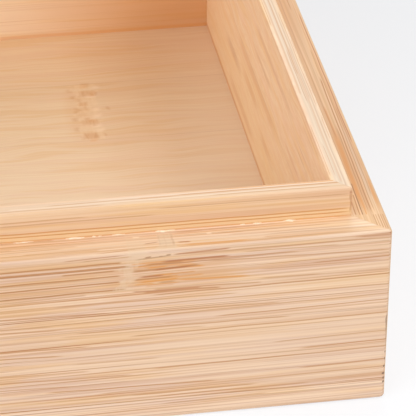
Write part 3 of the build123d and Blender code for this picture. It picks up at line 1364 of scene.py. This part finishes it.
@dataclass
class GlueBeads:
    """Beads of dried glue where the walls' ledge meets the lip, one piece for each side of the box.

    Attributes:
        front: The beads on the front ledge.
        per_side: How many beads each other side gets.
        long_reach: How far from the middle of a long side they lie.
        short_reach: How far from the middle of a short side they lie.
        stations: Rings along a bead.
        arc_points: Points on a bead's round side.
        seed: Sets the random beads and ripples.
    """

    front: tuple[Bead, ...] = (
        Bead(40.0, 44.0, 0.35, 0.1),
        Bead(49.7, 53.4, 0.5, 0.18),
        Bead(54.7, 55.5, 0.4, 0.15),
        Bead(55.8, 56.6, 0.35, 0.12),
        Bead(58.4, 60.9, 0.4, 0.12),
        Bead(66.4, 70.3, 0.6, 0.25),
        Bead(82.4, 83.4, 0.3, 0.12),
        Bead(84.8, 86.5, 0.5, 0.2),
        Bead(90.4, 93.0, 0.55, 0.25),
    )
    per_side: int = 7
    long_reach: float = 90.0
    short_reach: float = 60.0
    stations: int = 17
    arc_points: int = 7
    seed: int = 21

    def build(self) -> None:
        """Makes the four pieces and lets them ride on the box."""
        chance = np.random.default_rng(self.seed)
        material = self._material()
        for turns, side in enumerate(("front", "right", "back", "left")):
            is_long = side in ("front", "back")
            distance = -LIP_FRONT if is_long else HALF_LENGTH - (HALF_WIDTH + LIP_FRONT)
            beads = self.front if side == "front" else self._random_beads(chance, is_long)
            rings = self._rings(beads, distance, math.radians(90.0 * turns), chance)
            points, faces = self._skin(rings)
            piece = new_piece(f"{side}_glue_beads", points, faces, material)
            piece.data.shade_smooth()
            piece.data.validate()
            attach(piece, "box")
            LOG.info("piece %s: %d beads", piece.name, len(beads))

    def _random_beads(self, chance: np.random.Generator, is_long: bool) -> tuple[Bead, ...]:
        """Draws the beads of a side that isn't seen.

        Args:
            chance: The random source.
            is_long: Whether the side is a long one.

        Returns:
            The beads.
        """
        jitter, shortest, longest = 9.0, 1.2, 4.2
        narrowest, widest, height_share = 0.35, 0.65, 0.55
        reach, count = self.long_reach if is_long else self.short_reach, self.per_side
        starts = np.linspace(-reach, reach, count) + chance.uniform(-jitter, jitter, count)
        lengths = chance.uniform(shortest, longest, count)
        widths = chance.uniform(narrowest, widest, count)
        table = np.stack([starts, starts + lengths, widths, height_share * widths], axis=1)
        return tuple(Bead(*row) for row in table.tolist())

    def _bead_points(self, bead: Bead, ripple: np.ndarray) -> np.ndarray:
        """The rings of one bead in its side's own frame, in millimetres.

        Along t from 0 to 1 the section swells as the root of the sine of half a turn times t, times one
        plus a ripple, over the most that this sum can reach. Each ring is the corner of ledge and lip,
        then a quarter ellipse from the ledge to the lip.

        Args:
            bead: The bead.
            ripple: Three phases for the ripples.

        Returns:
            An array of rings by points by (along, out from the lip, up from the ledge).
        """
        widest, tallest = 1.34, 1.2
        t = np.linspace(0.02, 0.98, self.stations)[:, None]
        turn = np.linspace(0.0, math.pi / 2, self.arc_points)[None, :]
        swell = np.sqrt(np.sin(math.pi * t))
        wide = 1.0 + 0.22 * np.sin(9.0 * t + ripple[0]) + 0.12 * np.sin(17.0 * t + ripple[1])
        tall = 1.0 + 0.20 * np.sin(7.0 * t + ripple[2])
        corner = np.zeros((self.stations, 1))
        out = np.hstack([corner, bead.width * swell * wide * np.cos(turn) / widest])
        up = np.hstack([corner, bead.height * swell * tall * np.sin(turn) / tallest])
        along = np.broadcast_to(bead.start + (bead.end - bead.start) * t, out.shape)
        return np.stack([along, out, up], axis=-1)

    def _rings(
        self, beads: Iterable[Bead], distance: float, angle: float, chance: np.random.Generator
    ) -> np.ndarray:
        """The rings of a side's beads in the part's frame.

        Each side's frame is the front's, turned about the upright axis through the origin.

        Args:
            beads: The beads.
            distance: How far the lip's outer face is from the middle of the box, in millimetres.
            angle: The turn from the front to this side.
            chance: The random source of the ripples.

        Returns:
            An array of beads by rings by points by (x, y, z), in metres.
        """
        rings = np.stack([self._bead_points(bead, chance.uniform(0.0, 6.0, 3)) for bead in beads])
        along, out, up = rings[..., 0], rings[..., 1], rings[..., 2]
        side_y = -distance - out
        x = along * math.cos(angle) - side_y * math.sin(angle)
        y = along * math.sin(angle) + side_y * math.cos(angle)
        return np.stack([x, y, LEDGE + up], axis=-1) * MM

    def _skin(self, rings: np.ndarray) -> tuple[list, list]:
        """Joins rings with four-sided faces and closes each bead with a cap at both ends.

        Args:
            rings: Beads by rings by points by (x, y, z).

        Returns:
            The points and the faces.
        """
        count, stations, around, _ = rings.shape
        first = (np.arange(count) * stations * around)[:, None, None]
        here = first + (np.arange(stations - 1) * around)[None, :, None] + np.arange(around)
        ahead = here - np.arange(around) + (np.arange(around) + 1) % around
        quads = np.stack([here, here + around, ahead + around, ahead], axis=-1).reshape(-1, 4)
        near_caps = first[:, 0] + np.arange(around)
        far_caps = first[:, 0] + (stations - 1) * around + np.arange(around)[::-1]
        faces = quads.tolist() + near_caps.tolist() + far_caps.tolist()
        return rings.reshape(-1, 3).tolist(), faces

    def _material(self) -> bpy.types.Material:
        """Dried glue: cream, a little glossy, mottled by fine noise."""
        made, w = new_material("dried glue")
        mottle = w.noise(w.stretched(w.millimetres(), (1.4, 1.4, 1.4)), 3.0)
        light, dark = linear(255, 240, 216), linear(247, 219, 184)
        surface = {
            "Base Color": w.blend(w.fade(mottle, 0.35, 0.65), light, dark),
            "Roughness": w.scaled(mottle, 0.2, 0.28),
            "Normal": w.relief(mottle, 0.3, 0.05),
        }
        shader = w.node("ShaderNodeBsdfPrincipled", surface)
        w.node("ShaderNodeOutputMaterial", {"Surface": shader.outputs[0]})
        return made


@dataclass(frozen=True)
class Softbox:
    """A square soft lamp.

    Attributes:
        name: Its name.
        place: Where it hangs, in metres.
        target: What it points at.
        size: Its width in metres.
        power: Its power in watts.
    """

    name: str
    place: tuple[float, float, float]
    target: tuple[float, float, float]
    size: float
    power: float


@dataclass
class Studio:
    """A pale floor, soft lamps and the camera.

    Attributes:
        floor_half: Half the floor's width in metres.
        floor_colour: The floor's colour.
        backdrop: The colour that the floor has for the camera.
        glow: How much of the floor's own shade gives way to the backdrop where it is seen.
        sky: The strength of the even light from all round.
        lamps: The lamps.
        camera_place: Where the camera stands, in metres.
        camera_turn: How it is turned, in degrees.
        lens: Its focal length in millimetres.
        sensor: Its sensor's width in millimetres.
    """

    floor_half: float = 3.0
    floor_colour: Colour = linear(238, 239, 242)
    backdrop: Colour = (0.98, 0.985, 1.0, 1.0)
    glow: float = 0.7
    sky: float = 0.6
    lamps: tuple[Softbox, ...] = (
        Softbox("right softbox", (0.48, -0.34, 0.80), (0.05, 0.0, 0.03), 0.45, 2.6),
        Softbox("front softbox", (-0.80, -0.72, 0.58), (0.0, 0.0, 0.03), 0.9, 5.8),
        Softbox("back softbox", (0.05, 0.95, 0.62), (0.05, 0.0, 0.03), 1.0, 4.8),
    )
    camera_place: tuple[float, float, float] = (-0.000629, -0.510142, 0.317915)
    camera_turn: tuple[float, float, float] = (58.2333, -0.5641, -9.6026)
    lens: float = 245.77
    sensor: float = 36.0

    def build(self) -> None:
        """Makes the floor, the light and the camera."""
        self._floor()
        self._world()
        for lamp in self.lamps:
            self._hang(lamp)
        self._camera()

    def _floor(self) -> None:
        """Lays the floor at the box's foot, its glow a painted light falloff, a little less bright behind
        the box than before it.
        """
        half = self.floor_half
        corners = [(-half, -half, 0.0), (half, -half, 0.0), (half, half, 0.0), (-half, half, 0.0)]
        made, w = new_material("studio floor")
        matt = w.node("ShaderNodeBsdfDiffuse", {"Color": self.floor_colour})
        _, depth, _ = w.split(w.node("ShaderNodeTexCoord").outputs["Object"])
        near, far, near_glow, far_glow = -0.09, 0.12, 1.05, 0.86
        # Painted light falloff: the floor's glow for the camera fades from before the box to behind it.
        falling = w.fade(depth, near, far, near_glow, far_glow)
        white = w.node("ShaderNodeEmission", {"Color": self.backdrop, "Strength": falling})
        ray = w.node("ShaderNodeLightPath").outputs
        seen = w.math("MAXIMUM", ray["Is Camera Ray"], ray["Is Glossy Ray"])
        seen = w.math("MAXIMUM", seen, ray["Is Transmission Ray"])
        shares = {0: w.times(seen, self.glow), 1: matt.outputs[0], 2: white.outputs[0]}
        shader = w.node("ShaderNodeMixShader", shares)
        w.node("ShaderNodeOutputMaterial", {"Surface": shader.outputs[0]})
        floor = new_piece("studio_floor", corners, [(0, 1, 2, 3)], made)

    def _world(self) -> None:
        """Lights the scene evenly from all round."""
        world = bpy.data.worlds.new("studio")
        world.use_nodes = True
        sky = world.node_tree.nodes["Background"]
        sky.inputs["Color"].default_value = (1.0, 1.0, 1.0, 1.0)
        sky.inputs["Strength"].default_value = self.sky
        bpy.context.scene.world = world

    def _hang(self, softbox: Softbox) -> None:
        """Hangs one lamp."""
        light = bpy.data.lights.new(softbox.name, "AREA")
        light.shape = "SQUARE"
        light.size = softbox.size
        light.energy = softbox.power
        lamp = bpy.data.objects.new(softbox.name, light)
        lamp.visible_camera = False
        lamp.location = softbox.place
        aim = lamp.location.copy()
        aim.xyz = softbox.target
        lamp.rotation_euler = (aim - lamp.location).to_track_quat("-Z", "Y").to_euler()
        bpy.context.scene.collection.objects.link(lamp)

    def _camera(self) -> None:
        """Stands the camera where the photograph was taken from, a hand above the table before the box."""
        lens = bpy.data.cameras.new("camera")
        lens.sensor_width = self.sensor
        lens.lens = self.lens
        lens.dof.use_dof = False
        camera = bpy.data.objects.new("camera", lens)
        camera.location = self.camera_place
        camera.rotation_euler = tuple(math.radians(angle) for angle in self.camera_turn)
        bpy.context.scene.collection.objects.link(camera)
        bpy.context.scene.camera = camera


def main() -> None:
    """Dresses the boards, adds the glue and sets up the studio."""
    logging.basicConfig(level=logging.INFO, format="%(message)s")
    bpy.context.scene.view_settings.view_transform = "Standard"
    effects = GrainEffects()
    lid_low, lid_high = node_size("lid_top_panel")
    lid_middle = float(lid_low[1] + lid_high[1]) / 2.0
    Boards(box_finishes(), 0.0).dress(effects)
    Boards(lid_finishes(), lid_middle).dress(effects)
    GlueBeads().build()
    Studio().build()


if __name__ == "__main__":
    main()
